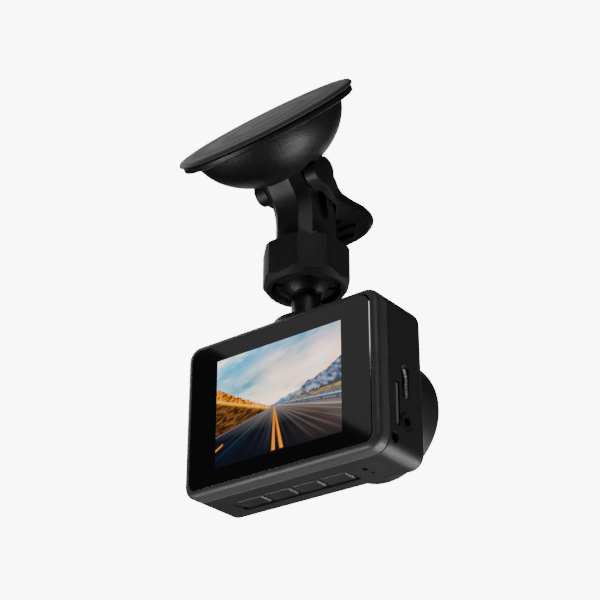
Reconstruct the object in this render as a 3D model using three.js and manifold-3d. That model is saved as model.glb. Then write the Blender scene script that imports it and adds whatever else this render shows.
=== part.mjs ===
// Dash camera on a windscreen suction mount, in millimetres, +Z up.
// Seen from the driver's seat, +X is to the right and +Y points forward, out through the lens.
// The camera is drawn with the middle of its screen glass at (0, 0, 0). The last lines move the
// whole model so that its origin is the middle of the suction face.
import * as THREE from "three";
import { mergeVertices } from "three/addons/utils/BufferGeometryUtils.js";
import Module from "manifold-3d";

const wasm = await Module();
wasm.setup();

// ---- Driving dimensions ----

// Camera body
const bodyWidth = 63;
const bodyHeight = 44;
const bodyDepth = 20.5;
const bodyCorner = 4;
const edgeRound = 1.9;
const wall = 1.8;
const bezelSide = 2.25;
const bezelTop = 1.8;
const frameDepth = 4;
const skirtDepth = 1.5;
const skirtWall = 1.2;
const gap = 0.2; // between two fixed pieces
const slack = 0.3; // between pieces in the tilted suction frame, or that move

// Screen
const glassThickness = 1.1;
const glassCorner = 3;
const panelWidth = 46;
const panelHeight = 34.7;
const panelThickness = 2.2;
const backlightThickness = 0.8;

// Lens
const lensShroudRadius = 17;
const lensShroudBore = 12.3;
const lensEdgeMargin = 3.3;
const lensLength = 12.5;
const lensThreadRadius = 6.1;
const frontLensRadius = 10.3;
const frontLensBulge = 3;

// Circuit boards and sockets
const boardThickness = 1.1;
const boardRear = 6;
const portBoardRear = 14.2;
const usbWidth = 9;
const usbThickness = 3.2;
const usbLength = 7.4;
const usbY = 12.1;
const usbZ = -1.05;
const cardWidth = 11;
const cardThickness = 0.8;
const cardLength = 15.8;
const cardY = 8.4;
const cardZ = -7.9;
const jackRadius = 2.2;
const jackBore = 1.3;
const jackY = 11.9;
const jackZ = -11.9;
const sideScrewY = 6.6;
const sideScrewDrop = 4.3;

// Buttons in the bottom trough
const buttonCount = 4;
const buttonPitch = 9;
const buttonWidth = 8.2;
const buttonDepth = 5;
const buttonClearance = 0.2;
const troughDepth = 0.8;
const troughMargin = 1.3;
const troughFromLeft = 9;
const switchHeight = 0.8;

// Ball joint
const mountY = 12.3;
const ballRadius = 6.5;
const ballHeight = 16.5;
const stemRadius = 4.1;
const footRadius = 9.3;
const footThickness = 2.6;
const spigotRadius = 3.2;
const linerThickness = 0.65;
const linerClearance = 0.15;
const collarWall = 1.4;

// Clamp nut
const nutHeight = 11.75;
const nutWall = 2.35;
const nutCornerFlat = 1.6;
const nutMouthChamfer = 2;

// Arm
const armWidth = 12.8;
const armDepth = 16.4;
const armChamfer = 2.75;
const armBend = 18;

// Suction cup, measured from its face
const faceAboveBall = 41.89;
const faceBehindBall = 19.18;
const faceLean = 46.9; // degrees between the suction axis and the vertical
const padRadius = 26.7;
const padThickness = 1.3;
const housingRim = 26;
const domeRadius = 22.6;
const domeDepth = 17.7;
const domeWall = 2;
const postRadius = 2.8;
const postHeadRadius = 6.5;

// Lever
const pinDepth = 18;
const pinRadius = 1.2;
const pullTravel = 1.5;
const camRadius = 3.6;
const camThrow = 1.5;
const earThickness = 3.7;
const earGap = 0.5;
const gripRib = 0.5;

// ---- Finishes ----

const finish = (color, roughness, metalness) =>
  new THREE.MeshStandardMaterial({ color, roughness, metalness });
const satinBlack = finish(0x232426, 0.55, 0.0);
const frameGrey = finish(0x2c2d30, 0.45, 0.1);
const glossBlack = finish(0x060607, 0.08, 0.0);
const softBlack = finish(0x1d1d1e, 0.8, 0.0);
const nylonBlack = finish(0x18191a, 0.5, 0.0);
const boardGreen = finish(0x1f4a35, 0.6, 0.0);
const chipBlack = finish(0x151517, 0.5, 0.0);
const steel = finish(0xb9bcc0, 0.3, 1.0);
const lensGlass = finish(0x20262c, 0.03, 0.0);
const screenLit = finish(0x4d5a66, 0.2, 0.0);
const whiteFilm = finish(0xe6e8ea, 0.6, 0.0);
const capacitorSleeve = finish(0x203a6a, 0.4, 0.0);

// ---- Shapes ----

const round = (count) => ({ count });
const fine = round(24);
const medium = round(16);
const coarse = round(10);

// Three ways to lay a flat outline: its two coordinates, then the way it is thickened.
const lay = {
  xy: new THREE.Matrix4(),
  yz: new THREE.Matrix4().makeBasis(
    new THREE.Vector3(0, 1, 0),
    new THREE.Vector3(0, 0, 1),
    new THREE.Vector3(1, 0, 0),
  ),
  xz: new THREE.Matrix4().makeBasis(
    new THREE.Vector3(1, 0, 0),
    new THREE.Vector3(0, 0, 1),
    new THREE.Vector3(0, -1, 0),
  ),
};

function solid(geometry) {
  const plain = geometry.index ? geometry.toNonIndexed() : geometry.clone();
  plain.deleteAttribute("normal");
  plain.deleteAttribute("uv");
  const merged = mergeVertices(plain, 1e-4);
  const corners = merged.index.array;
  const kept = [];
  for (let i = 0; i < corners.length; i += 3) {
    const [a, b, c] = corners.slice(i, i + 3);
    if (a !== b && b !== c && c !== a) kept.push(a, b, c);
  }
  const triVerts = new Uint32Array(kept);
  const vertProperties = merged.attributes.position.array;
  const made = new wasm.Manifold(new wasm.Mesh({ numProp: 3, vertProperties, triVerts }));
  if (made.volume() >= 0) return made;
  triVerts.reverse();
  return new wasm.Manifold(new wasm.Mesh({ numProp: 3, vertProperties, triVerts }));
}

function box(x0, x1, y0, y1, z0, z1) {
  const block = new THREE.BoxGeometry(x1 - x0, y1 - y0, z1 - z0);
  return block.translate((x0 + x1) / 2, (y0 + y1) / 2, (z0 + z1) / 2);
}

// A box given by its middle in x and z, its two sizes there, and its reach in y.
const chip = (x, z, width, height, y0, y1) =>
  box(x - width / 2, x + width / 2, y0, y1, z - height / 2, z + height / 2);

function rod(axis, radius, from, to, a, b, segments = coarse) {
  const bar = new THREE.CylinderGeometry(radius, radius, to - from, segments.count);
  const middle = (from + to) / 2;
  if (axis === "x") return bar.rotateZ(Math.PI / 2).translate(middle, a, b);
  if (axis === "y") return bar.translate(a, middle, b);
  return bar.rotateX(Math.PI / 2).translate(a, b, middle);
}

// Turns a closed [radius, height] outline about the axis, through (a, b).
function turned(axis, outline, a, b, segments = fine) {
  const points = outline.map(([radius, height]) => new THREE.Vector2(radius, height));
  const turnedBody = new THREE.LatheGeometry(points, segments.count);
  if (axis === "x") return turnedBody.rotateZ(-Math.PI / 2).translate(0, a, b);
  if (axis === "y") return turnedBody.translate(a, 0, b);
  return turnedBody.rotateX(Math.PI / 2).translate(a, b, 0);
}

const ring = (inner, outer, low, high) => [
  [inner, low],
  [outer, low],
  [outer, high],
  [inner, high],
  [inner, low],
];

// Points on a circle's arc, from one angle to the other, in degrees.
function arc(centreA, centreB, radius, from, to, steps) {
  return Array.from({ length: steps + 1 }, (_, i) => {
    const angle = THREE.MathUtils.degToRad(from + ((to - from) * i) / steps);
    return [centreA + radius * Math.cos(angle), centreB + radius * Math.sin(angle)];
  });
}

const outlineOf = (points) => new THREE.Shape(points.map(([a, b]) => new THREE.Vector2(a, b)));

function roundedOutline(width, height, radius, a = 0, b = 0) {
  const x = width / 2 - radius;
  const y = height / 2 - radius;
  return outlineOf([
    ...arc(a + x, b + y, radius, 0, 90, 3),
    ...arc(a - x, b + y, radius, 90, 180, 3),
    ...arc(a - x, b - y, radius, 180, 270, 3),
    ...arc(a + x, b - y, radius, 270, 360, 3),
  ]);
}

// Thickens an outline between two places on the third axis, with its edges rounded by bevel.
function plate(plane, outline, from, to, bevel = 0, bevelSegments = 1) {
  const slab = new THREE.ExtrudeGeometry(outline, {
    depth: to - from - 2 * bevel,
    bevelEnabled: bevel > 0,
    bevelThickness: bevel,
    bevelSize: bevel,
    bevelOffset: -bevel,
    bevelSegments,
    curveSegments: 8,
  });
  slab.translate(0, 0, bevel).applyMatrix4(lay[plane]);
  if (plane === "yz") return slab.translate(from, 0, 0);
  if (plane === "xz") return slab.translate(0, to, 0);
  return slab.translate(0, 0, from);
}

const camera = new THREE.Group();

function add(name, body, material) {
  const { vertProperties, triVerts } = body.getMesh();
  const geometry = new THREE.BufferGeometry();
  geometry.setAttribute("position", new THREE.BufferAttribute(vertProperties, 3));
  geometry.setIndex(new THREE.BufferAttribute(triVerts, 1));
  geometry.computeVertexNormals();
  const mesh = new THREE.Mesh(geometry, material);
  mesh.name = name;
  camera.add(mesh);
}

// ---- Places that several pieces share ----

const right = bodyWidth / 2;
const top = bodyHeight / 2;
const bottom = -bodyHeight / 2;
const insideRight = right - wall;
const insideBottom = bottom + wall;
const insideFront = bodyDepth - wall;
const lensX = right - lensShroudRadius - lensEdgeMargin;
const lensZ = 0;
const lensFront = bodyDepth + lensLength;
const frontLensBack = lensFront - 6.1;
const boardFront = boardRear + boardThickness;
const sensorBoardRear = 9.5;
const sensorBoardFront = sensorBoardRear + boardThickness;
const partsFront = boardFront + gap;
const ballZ = top + ballHeight;
const socketRadius = ballRadius + linerClearance + linerThickness + gap;
const collarRadius = socketRadius + collarWall;
const nutBottom = ballZ - 3.4;
const nutTop = nutBottom + nutHeight;
const nutBore = collarRadius + slack;
const nutWidth = 2 * (nutBore + nutWall); // across flats
const armFoot = nutTop + 0.25;
const faceY = mountY - faceBehindBall;
const faceZ = ballZ + faceAboveBall;
const lean = THREE.MathUtils.degToRad(faceLean);

// The suction frame: its +Z comes out of the suction face, and depth is measured the other way.
const suctionFrame = new THREE.Matrix4()
  .makeTranslation(0, faceY, faceZ)
  .multiply(new THREE.Matrix4().makeRotationX(lean));
const inSuction = (geometry) => solid(geometry.applyMatrix4(suctionFrame));
const depthBox = (x0, x1, t0, t1, shallow, deep) => box(x0, x1, t0, t1, -deep, -shallow);

// A point of the suction frame's middle plane, as [y, z] of the camera frame.
const suctionPoint = (t, depth) => [
  faceY + t * Math.cos(lean) + depth * Math.sin(lean),
  faceZ + t * Math.sin(lean) - depth * Math.cos(lean),
];
const [pinY, pinZ] = suctionPoint(0, pinDepth);

// ---- Camera body ----

const bodyBlock = solid(
  plate("xz", roundedOutline(bodyWidth, bodyHeight, bodyCorner), 0, bodyDepth, edgeRound, 2),
);

const glassWidth = bodyWidth - 2 * bezelSide;
const glassHeight = bodyHeight - 2 * bezelTop;
const panelRear = glassThickness + gap;
const panelFront = panelRear + panelThickness;
const lugTop = bottom + sideScrewDrop + 2.3;
const lugFront = sideScrewY + 2.2;

function rearFrame() {
  const clear = 2 * gap;
  const pocket = roundedOutline(glassWidth + clear, glassHeight + clear, glassCorner + gap);
  const window = roundedOutline(panelWidth + 3, panelHeight + 1.7, 1.5);
  const skirtWidth = bodyWidth - 2 * wall - clear;
  const skirtHeight = bodyHeight - 2 * wall - clear;
  const skirtOutline = roundedOutline(skirtWidth, skirtHeight, 2.2);
  const skirtBlock = solid(plate("xz", skirtOutline, frameDepth - 1, lugFront));
  const skirt = skirtBlock
    .intersect(solid(box(-right, right, 0, frameDepth + skirtDepth, bottom, top)))
    .subtract(
    solid(
      plate(
        "xz",
        roundedOutline(skirtWidth - 2 * skirtWall, skirtHeight - 2 * skirtWall, 1),
        frameDepth - 2,
        frameDepth + skirtDepth + 1,
      ),
    ),
  );
  let frame = bodyBlock
    .intersect(solid(box(-right, right, -1, frameDepth, bottom, top)))
    .add(skirt)
    .subtract(solid(plate("xz", pocket, -1, glassThickness + gap)))
    .subtract(solid(plate("xz", window, -1, frameDepth + 1)));
  for (const side of [-1, 1]) {
    const inner = side * (insideRight - gap);
    const outer = side * (insideRight - 5);
    const lug = box(Math.min(inner, outer), Math.max(inner, outer), 3, lugFront, insideBottom + gap, lugTop);
    const pilot = rod("x", 0.8, -right, right, sideScrewY, bottom + sideScrewDrop);
    const half = side > 0 ? box(0, right, -1, 20, bottom, top) : box(-right, 0, -1, 20, bottom, top);
    const fitted = solid(lug).intersect(skirtBlock);
    frame = frame.add(fitted).subtract(solid(pilot).intersect(solid(half)));
  }
  return frame;
}
add("rear_frame", rearFrame(), frameGrey);

const glassOutline = roundedOutline(glassWidth, glassHeight, glassCorner);
add("screen_glass", solid(plate("xz", glassOutline, 0.02, glassThickness, 0.15)), glossBlack);
add("lcd_panel", solid(chip(0, 0, panelWidth, panelHeight, panelRear, panelFront)), screenLit);
const backlightRear = panelFront + gap;
const backlightFront = backlightRear + backlightThickness;
const backlight = chip(0, 0, panelWidth - 2, panelHeight - 2, backlightRear, backlightFront);
add("backlight", solid(backlight), whiteFilm);

// The main board is held by screws that go into long bosses on the front wall.
const boardSide = insideRight - 0.7;
const boardTop = top - 5;
const boardBottom = bottom + 7.4;
const bossX = right - 5.7;
const bosses = [
  [-bossX, boardTop - 3],
  [bossX, boardTop - 3],
  [-bossX, boardBottom + 3.1],
];

const firstButton = -right + troughFromLeft + troughMargin + buttonWidth / 2;
const buttonXs = Array.from({ length: buttonCount }, (_, i) => firstButton + i * buttonPitch);
const troughLeft = buttonXs[0] - buttonWidth / 2 - troughMargin;
const troughRight = buttonXs[buttonCount - 1] + buttonWidth / 2 + troughMargin;
const troughHalf = buttonDepth / 2 + 0.7;
const troughFloor = bottom + troughDepth;
const microphoneX = troughRight + 4.3;
const microphoneY = mountY - 1.7;
const resetY = mountY + 1.3;

const lensScrewRadius = (lensShroudRadius + lensShroudBore + 1.3) / 2;
const lensScrews = [90, 210, 330].map((degrees) => {
  const angle = THREE.MathUtils.degToRad(degrees);
  return [lensX + lensScrewRadius * Math.cos(angle), lensZ + lensScrewRadius * Math.sin(angle)];
});
const shroudSpigot = lensShroudBore + 1.3;

const usbOutline = (grow) =>
  roundedOutline(usbThickness + 2 * grow, usbWidth + 2 * grow, usbThickness / 2 + grow, usbY, usbZ);

function cutPorts(shell) {
  const outside = right + 1;
  const cardHalf = cardWidth / 2 + 0.7;
  const cardSlot = roundedOutline(cardThickness + 0.9, 2 * cardHalf, 0.8, cardY, cardZ);
  const screwZ = bottom + sideScrewDrop;
  return shell
    .subtract(solid(plate("yz", usbOutline(gap), insideRight - 1, outside)))
    .subtract(solid(plate("yz", cardSlot, insideRight - 1, outside)))
    .subtract(solid(rod("x", jackRadius + gap, insideRight - 1, outside, jackY, jackZ, medium)))
    .subtract(solid(rod("x", 0.95, -outside, -insideRight + 1, sideScrewY, screwZ)))
    .subtract(solid(rod("x", 0.95, insideRight - 1, outside, sideScrewY, screwZ)))
    .subtract(solid(rod("x", 1.5, -outside, -right + 1.2, sideScrewY, screwZ)))
    .subtract(solid(rod("x", 1.5, right - 1.2, outside, sideScrewY, screwZ)));
}

function cutBottom(shell) {
  const middle = (troughLeft + troughRight) / 2;
  const trough = roundedOutline(troughRight - troughLeft, 2 * troughHalf, 1, middle, mountY);
  let cut = shell.subtract(solid(plate("xy", trough, bottom - 1, troughFloor)));
  for (const x of buttonXs) {
    const width = buttonWidth + 2 * buttonClearance;
    const depth = buttonDepth + 2 * buttonClearance;
    cut = cut.subtract(
      solid(plate("xy", roundedOutline(width, depth, 0.7, x, mountY), bottom - 1, insideBottom + 1)),
    );
  }
  return cut
    .subtract(solid(rod("z", 0.8, bottom - 1, insideBottom + 1, microphoneX, microphoneY)))
    .subtract(solid(rod("z", 0.5, bottom - 1, insideBottom + 1, microphoneX + 0.3, resetY)));
}

function mainShell() {
  const inner = roundedOutline(bodyWidth - 2 * wall, bodyHeight - 2 * wall, bodyCorner - wall);
  let shell = bodyBlock
    .intersect(solid(box(-right, right, frameDepth + gap, bodyDepth, bottom, top)))
    .subtract(solid(plate("xz", inner, frameDepth - 1, insideFront)));
  for (const [x, z] of bosses)
    shell = shell.add(solid(rod("y", 2.2, boardFront + gap, insideFront + 0.5, x, z)));
  for (const [x, z] of bosses)
    shell = shell.subtract(solid(rod("y", 0.95, boardFront - 1, boardFront + 6, x, z)));
  shell = shell.subtract(
    solid(rod("y", shroudSpigot + gap, insideFront - 1, bodyDepth + 1, lensX, lensZ, fine)),
  );
  for (const [x, z] of lensScrews)
    shell = shell.subtract(solid(rod("y", 0.8, insideFront - 1, bodyDepth + 1, x, z)));
  const hole = rod("z", spigotRadius + gap, top - wall - 1, top + 1, 0, mountY, medium);
  shell = shell.subtract(solid(hole));
  for (const z of [-6, -3, 0, 3, 6])
    shell = shell.subtract(solid(chip(speakerX, speakerZ + z, 7, 1, insideFront - 1, bodyDepth + 1)));
  return cutBottom(cutPorts(shell));
}

const speakerX = -right + 14.5;
const speakerZ = 1;
const speakerRadius = 7;
const speakerDepth = 3;
add("main_shell", mainShell(), satinBlack);

// ---- Lens ----

function lensShroud() {
  const seat = bodyDepth + gap;
  const body = solid(
    turned(
      "y",
      [
        [lensShroudBore, insideFront + 0.2],
        [shroudSpigot, insideFront + 0.2],
        [shroudSpigot, seat],
        [lensShroudRadius, seat],
        [lensShroudRadius, lensFront - 0.8],
        [lensShroudRadius - 0.8, lensFront],
        [lensShroudBore + 3, lensFront],
        [lensShroudBore, lensFront - 2.2],
        [lensShroudBore, insideFront + 0.2],
      ],
      lensX,
      lensZ,
    ),
  );
  return lensScrews.reduce(
    (shroud, [x, z]) => shroud.subtract(solid(rod("y", 0.7, bodyDepth, bodyDepth + 5, x, z))),
    body,
  );
}
add("lens_shroud", lensShroud(), satinBlack);

const barrelRadius = lensShroudBore - 0.4;
const barrelBore = 4.9;
const barrelRear = sensorBoardFront + 2;
add(
  "lens_barrel",
  solid(
    turned(
      "y",
      [
        [barrelBore, barrelRear],
        [lensThreadRadius, barrelRear],
        [lensThreadRadius, bodyDepth + 1.5],
        [barrelRadius, bodyDepth + 1.5],
        [barrelRadius, frontLensBack + 3.1],
        [frontLensRadius + gap, frontLensBack + 3.1],
        [frontLensRadius + gap, frontLensBack - gap],
        [barrelBore, frontLensBack - gap],
        [barrelBore, barrelRear],
      ],
      lensX,
      lensZ,
    ),
  ),
  nylonBlack,
);

// A lens with a flat back and a front that bulges by so much.
function lensOutline(radius, back, edge, bulge) {
  const curve = (radius * radius + bulge * bulge) / (2 * bulge);
  const half = THREE.MathUtils.radToDeg(Math.asin(radius / curve));
  return [[0, back], [radius, back], ...arc(0, back + edge + bulge - curve, curve, 90 - half, 90, 6)];
}
const frontLens = lensOutline(frontLensRadius, frontLensBack, 1.7, frontLensBulge);
frontLens[frontLens.length - 1][0] = 0;
add("front_lens", solid(turned("y", frontLens, lensX, lensZ)), lensGlass);
for (const [name, back, bulge] of [
  ["rear_lens", barrelRear + 0.5, 1],
  ["middle_lens", barrelRear + 6, 1.4],
]) {
  const outline = lensOutline(barrelBore - gap, back, 1.5, bulge);
  outline[outline.length - 1][0] = 0;
  add(name, solid(turned("y", outline, lensX, lensZ, medium)), lensGlass);
}
const retainer = ring(frontLensRadius - 0.9, barrelRadius, frontLensBack + 3.3, frontLensBack + 4.1);
add("lens_retaining_ring", solid(turned("y", retainer, lensX, lensZ)), frameGrey);

const holderRadius = lensThreadRadius + gap + 1.1;
function lensHolder() {
  const base = chip(lensX, lensZ, 16, 16, sensorBoardFront + gap, sensorBoardFront + 1.7);
  const tube = rod("y", holderRadius, sensorBoardFront + 1, insideFront - 1, lensX, lensZ, medium);
  const bore = rod("y", lensThreadRadius + gap, 0, bodyDepth, lensX, lensZ, medium);
  return solid(base).add(solid(tube)).subtract(solid(bore));
}
add("lens_holder", lensHolder(), nylonBlack);

// ---- Boards and what is on them ----

function mainBoard() {
  const width = 2 * boardSide;
  const middle = (boardTop + boardBottom) / 2;
  const board = solid(chip(0, middle, width, boardTop - boardBottom, boardRear, boardFront));
  return bosses.reduce((cut, [x, z]) => cut.subtract(solid(rod("y", 1.15, 0, 12, x, z))), board);
}
add("main_board", mainBoard(), boardGreen);

const capacitorRadius = 3.3;
const capacitorXs = [-right + 9.1, -right + 16.4];
const spreaderHalf = 6;
const processorX = Math.max(lensX - 16.2, capacitorXs[1] + capacitorRadius + spreaderHalf + gap);
add("processor", solid(chip(processorX, 7, 10, 10, partsFront, partsFront + 1.1)), chipBlack);
const spreader = chip(
  processorX,
  7,
  2 * spreaderHalf,
  2 * spreaderHalf,
  partsFront + 1.3,
  sensorBoardRear - gap,
);
add("heat_spreader", solid(spreader), steel);
add("memory_chip", solid(chip(processorX, -5, 8, 6, partsFront, partsFront + 0.9)), chipBlack);
const motionChip = chip(processorX, boardBottom + 3, 3, 3, partsFront, partsFront + 0.9);
add("motion_sensor", solid(motionChip), chipBlack);
for (const [i, x] of capacitorXs.entries()) {
  const low = boardBottom + 6;
  const capacitor = rod("z", capacitorRadius, low, low + 19, x, partsFront + 3.5, medium);
  add(`supercapacitor_${i + 1}`, solid(capacitor), capacitorSleeve);
}

const sensorBoard = chip(lensX, lensZ, 18, 18, sensorBoardRear, sensorBoardFront);
add("sensor_board", solid(sensorBoard), boardGreen);
const link = chip(lensX, lensZ + 4, 9, 3, partsFront, sensorBoardRear - gap);
add("board_connector", solid(link), nylonBlack);
const sensor = chip(lensX, lensZ, 7.5, 6, sensorBoardFront + gap, sensorBoardFront + 1.3);
add("image_sensor", solid(sensor), chipBlack);

const portBoardLeft = Math.max(insideRight - 9.3, lensX + 9);
const portBoard = box(
  portBoardLeft,
  boardSide,
  portBoardRear,
  portBoardRear + boardThickness,
  bottom + 6.4,
  usbZ + usbWidth / 2 + 1.5,
);
add("port_board", solid(portBoard), boardGreen);

function usbSocket() {
  const mouth = right - 0.5;
  const back = mouth - usbLength;
  const tongue = box(back + 0.3, mouth - 1.2, usbY - 0.35, usbY + 0.35, usbZ - 3.3, usbZ + 3.3);
  return solid(plate("yz", usbOutline(0), back, mouth))
    .subtract(solid(plate("yz", usbOutline(-0.35), back + 0.8, mouth + 1)))
    .add(solid(tongue));
}
add("usb_c_socket", usbSocket(), steel);

const cardOuter = right - 0.3;
const cardInner = cardOuter - cardLength;
function cardSocket() {
  const half = cardWidth / 2;
  const shell = box(
    cardInner - 1.2,
    insideRight - 0.3,
    cardY - 0.9,
    cardY + 0.9,
    cardZ - half - 1.6,
    cardZ + half + 1.6,
  );
  const slot = box(
    cardInner - 0.5,
    right,
    cardY - cardThickness / 2 - gap,
    cardY + cardThickness / 2 + gap,
    cardZ - half - gap,
    cardZ + half + gap,
  );
  return solid(shell).subtract(solid(slot));
}
add("microsd_socket", cardSocket(), steel);

function memoryCard() {
  const half = cardWidth / 2;
  const outline = outlineOf([
    [cardInner, cardZ - half],
    [cardOuter, cardZ - half],
    [cardOuter, cardZ + half],
    [cardInner + 7, cardZ + half],
    [cardInner + 5.6, cardZ + half - 1.3],
    [cardInner, cardZ + half - 1.3],
  ]);
  return solid(plate("xz", outline, cardY - cardThickness / 2, cardY + cardThickness / 2));
}
add("microsd_card", memoryCard(), chipBlack);

function videoJack() {
  const half = jackRadius - 0.1;
  const back = insideRight - 11;
  const body = box(back, insideRight - 0.5, jackY - half, jackY + half, jackZ - half, jackZ + half);
  const snout = rod("x", jackRadius, insideRight - 1, right + 0.15, jackY, jackZ, medium);
  const bore = rod("x", jackBore, back + 1.5, right + 1, jackY, jackZ, coarse);
  return solid(body).add(solid(snout)).subtract(solid(bore));
}
add("video_jack", videoJack(), nylonBlack);

const speaker = rod(
  "y",
  speakerRadius,
  insideFront - gap - speakerDepth,
  insideFront - gap,
  speakerX,
  speakerZ,
  medium,
);
add("speaker", solid(speaker), chipBlack);

// ---- Buttons and the small board over them ----

const capFoot = bottom + 0.1;
const flangeLow = insideBottom + gap;
const flangeHigh = flangeLow + 0.8;
const nubHigh = flangeHigh + 0.3;
const switchLow = nubHigh + slack;
const switchBody = switchLow + 0.4;
const buttonBoardLow = switchBody + switchHeight + gap;

function buttonCap(x) {
  const cap = plate(
    "xy",
    roundedOutline(buttonWidth, buttonDepth, 0.6, x, mountY),
    capFoot,
    flangeHigh,
    0.45,
    2,
  );
  const flange = box(
    x - buttonWidth / 2,
    x + buttonWidth / 2,
    mountY - buttonDepth / 2 - 0.8,
    mountY + buttonDepth / 2 + 0.8,
    flangeLow,
    flangeHigh,
  );
  const nub = rod("z", 0.9, flangeHigh - 0.2, nubHigh, x, mountY);
  return solid(cap).add(solid(flange)).add(solid(nub));
}

function tactSwitch(x) {
  const body = box(x - 2.1, x + 2.1, mountY - 1.6, mountY + 1.6, switchBody, switchBody + switchHeight);
  const plunger = rod("z", 0.9, switchLow, switchBody + 0.2, x, mountY);
  return solid(body).add(solid(plunger));
}

for (const [i, x] of buttonXs.entries()) {
  add(`button_${i + 1}`, buttonCap(x), satinBlack);
  add(`tact_switch_${i + 1}`, tactSwitch(x), steel);
}
const buttonBoard = box(
  troughLeft,
  microphoneX + 3,
  mountY - 3.4,
  mountY + 3.4,
  buttonBoardLow,
  buttonBoardLow + 0.8,
);
add("button_board", solid(buttonBoard), boardGreen);
const microphone = box(
  microphoneX - 1.5,
  microphoneX + 1.5,
  microphoneY - 1.1,
  microphoneY + 1.1,
  switchBody - 0.2,
  buttonBoardLow - gap,
);
add("microphone", solid(microphone), steel);
const resetSwitch = box(
  microphoneX - 1,
  microphoneX + 1.6,
  resetY - 0.9,
  resetY + 1.5,
  switchBody,
  buttonBoardLow - gap,
);
add("reset_switch", solid(resetSwitch), steel);

// ---- Screws ----

// A screw along an axis: its head starts at a place and its shank runs the way of the sign.
function screw(axis, head, sign, a, b, headRadius, headHeight, shankRadius, length) {
  const seat = head + sign * headHeight;
  const end = seat + sign * length;
  const span = (one, other) => [Math.min(one, other), Math.max(one, other)];
  const cap = rod(axis, headRadius, ...span(head, seat), a, b, coarse);
  const shank = rod(axis, shankRadius, ...span(seat - sign * 0.1, end), a, b, round(8));
  const slotWidth = headRadius * 0.35;
  const across = headRadius * 1.3;
  const deep = span(head - sign, head + sign * headHeight * 0.5);
  const recess = {
    x: () => box(...deep, a - slotWidth, a + slotWidth, b - across / 2, b + across / 2),
    y: () => box(a - slotWidth, a + slotWidth, ...deep, b - across / 2, b + across / 2),
    z: () => box(a - slotWidth, a + slotWidth, b - across / 2, b + across / 2, ...deep),
  }[axis]();
  return solid(cap).add(solid(shank)).subtract(solid(recess));
}

const sideScrewZ = bottom + sideScrewDrop;
const sideHead = right - 0.25;
add("side_screw_1", screw("x", sideHead, -1, sideScrewY, sideScrewZ, 1.3, 0.8, 0.65, 4.6), steel);
add("side_screw_2", screw("x", -sideHead, 1, sideScrewY, sideScrewZ, 1.3, 0.8, 0.65, 4.6), steel);
for (const [i, [x, z]] of bosses.entries())
  add(`board_screw_${i + 1}`, screw("y", boardRear - gap - 0.9, 1, x, z, 1.5, 0.9, 0.8, 5), steel);
for (const [i, [x, z]] of lensScrews.entries())
  add(`lens_screw_${i + 1}`, screw("y", insideFront - gap - 0.8, 1, x, z, 1.2, 0.8, 0.55, 5.5), steel);

// ---- Ball stud, held in the camera's top by a clip ----

const clipHigh = top - wall - gap - 0.8;
const clipLow = clipHigh - 0.7;
const washer = ring(spigotRadius + gap, 6, clipHigh + 0.15, top - wall - gap);
add("swivel_washer", solid(turned("z", washer, 0, mountY, medium)), steel);

function retainingClip() {
  const clip = turned("z", ring(spigotRadius - 0.55, 5, clipLow, clipHigh), 0, mountY, medium);
  const mouth = box(-1.4, 1.4, mountY, mountY + 6, clipLow - 1, clipHigh + 1);
  return solid(clip).subtract(solid(mouth));
}
add("retaining_clip", retainingClip(), steel);

function ballStud() {
  const footLow = top + slack;
  const footHigh = footLow + footThickness;
  const neck = ballZ - Math.sqrt(ballRadius ** 2 - stemRadius ** 2);
  const from = THREE.MathUtils.radToDeg(Math.asin((neck - ballZ) / ballRadius));
  const sphere = arc(0, ballZ, ballRadius, from, 90, 9);
  sphere[sphere.length - 1][0] = 0;
  return solid(
    turned(
      "z",
      [
        [0, clipLow - 0.5],
        [spigotRadius, clipLow - 0.5],
        [spigotRadius, clipLow - 0.1],
        [spigotRadius - 0.7, clipLow - 0.1],
        [spigotRadius - 0.7, clipHigh + 0.1],
        [spigotRadius, clipHigh + 0.1],
        [spigotRadius, footLow],
        [footRadius, footLow],
        [footRadius, footHigh - 0.9],
        [footRadius - 0.7, footHigh - 0.2],
        [stemRadius + 1.1, footHigh],
        [stemRadius, footHigh + 1.2],
        [stemRadius, neck - 0.6],
        [stemRadius + 0.3, neck - 0.4],
        [stemRadius + 0.3, neck - 0.2],
        ...sphere,
      ],
      0,
      mountY,
    ),
  );
}
add("ball_stud", ballStud(), nylonBlack);

// ---- Ball liner, arm and clamp nut ----

const linerFoot = ballZ + 1;
const lipTop = ballZ - 1.1;
const lipRadius = ballRadius + linerClearance + 0.05;
const angleAt = (radius, height) => THREE.MathUtils.radToDeg(Math.asin((height - ballZ) / radius));

function ballLiner() {
  const inner = ballRadius + linerClearance;
  const outer = inner + linerThickness;
  const outside = arc(0, ballZ, outer, angleAt(outer, linerFoot), 72, 5);
  const inside = arc(0, ballZ, inner, 72, angleAt(inner, linerFoot), 5);
  return solid(turned("z", [...outside, ...inside, outside[0]], 0, mountY));
}
add("ball_liner", ballLiner(), whiteFilm);

// The bend's middle lies behind the vertical part of the arm, level with where that part ends.
const bendAngle = faceLean;
const cornerZ = faceZ - faceBehindBall / Math.tan(lean);
const bendStart = cornerZ - armBend * Math.tan(lean / 2);
const bendCentre = [mountY - armBend, bendStart];

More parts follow.
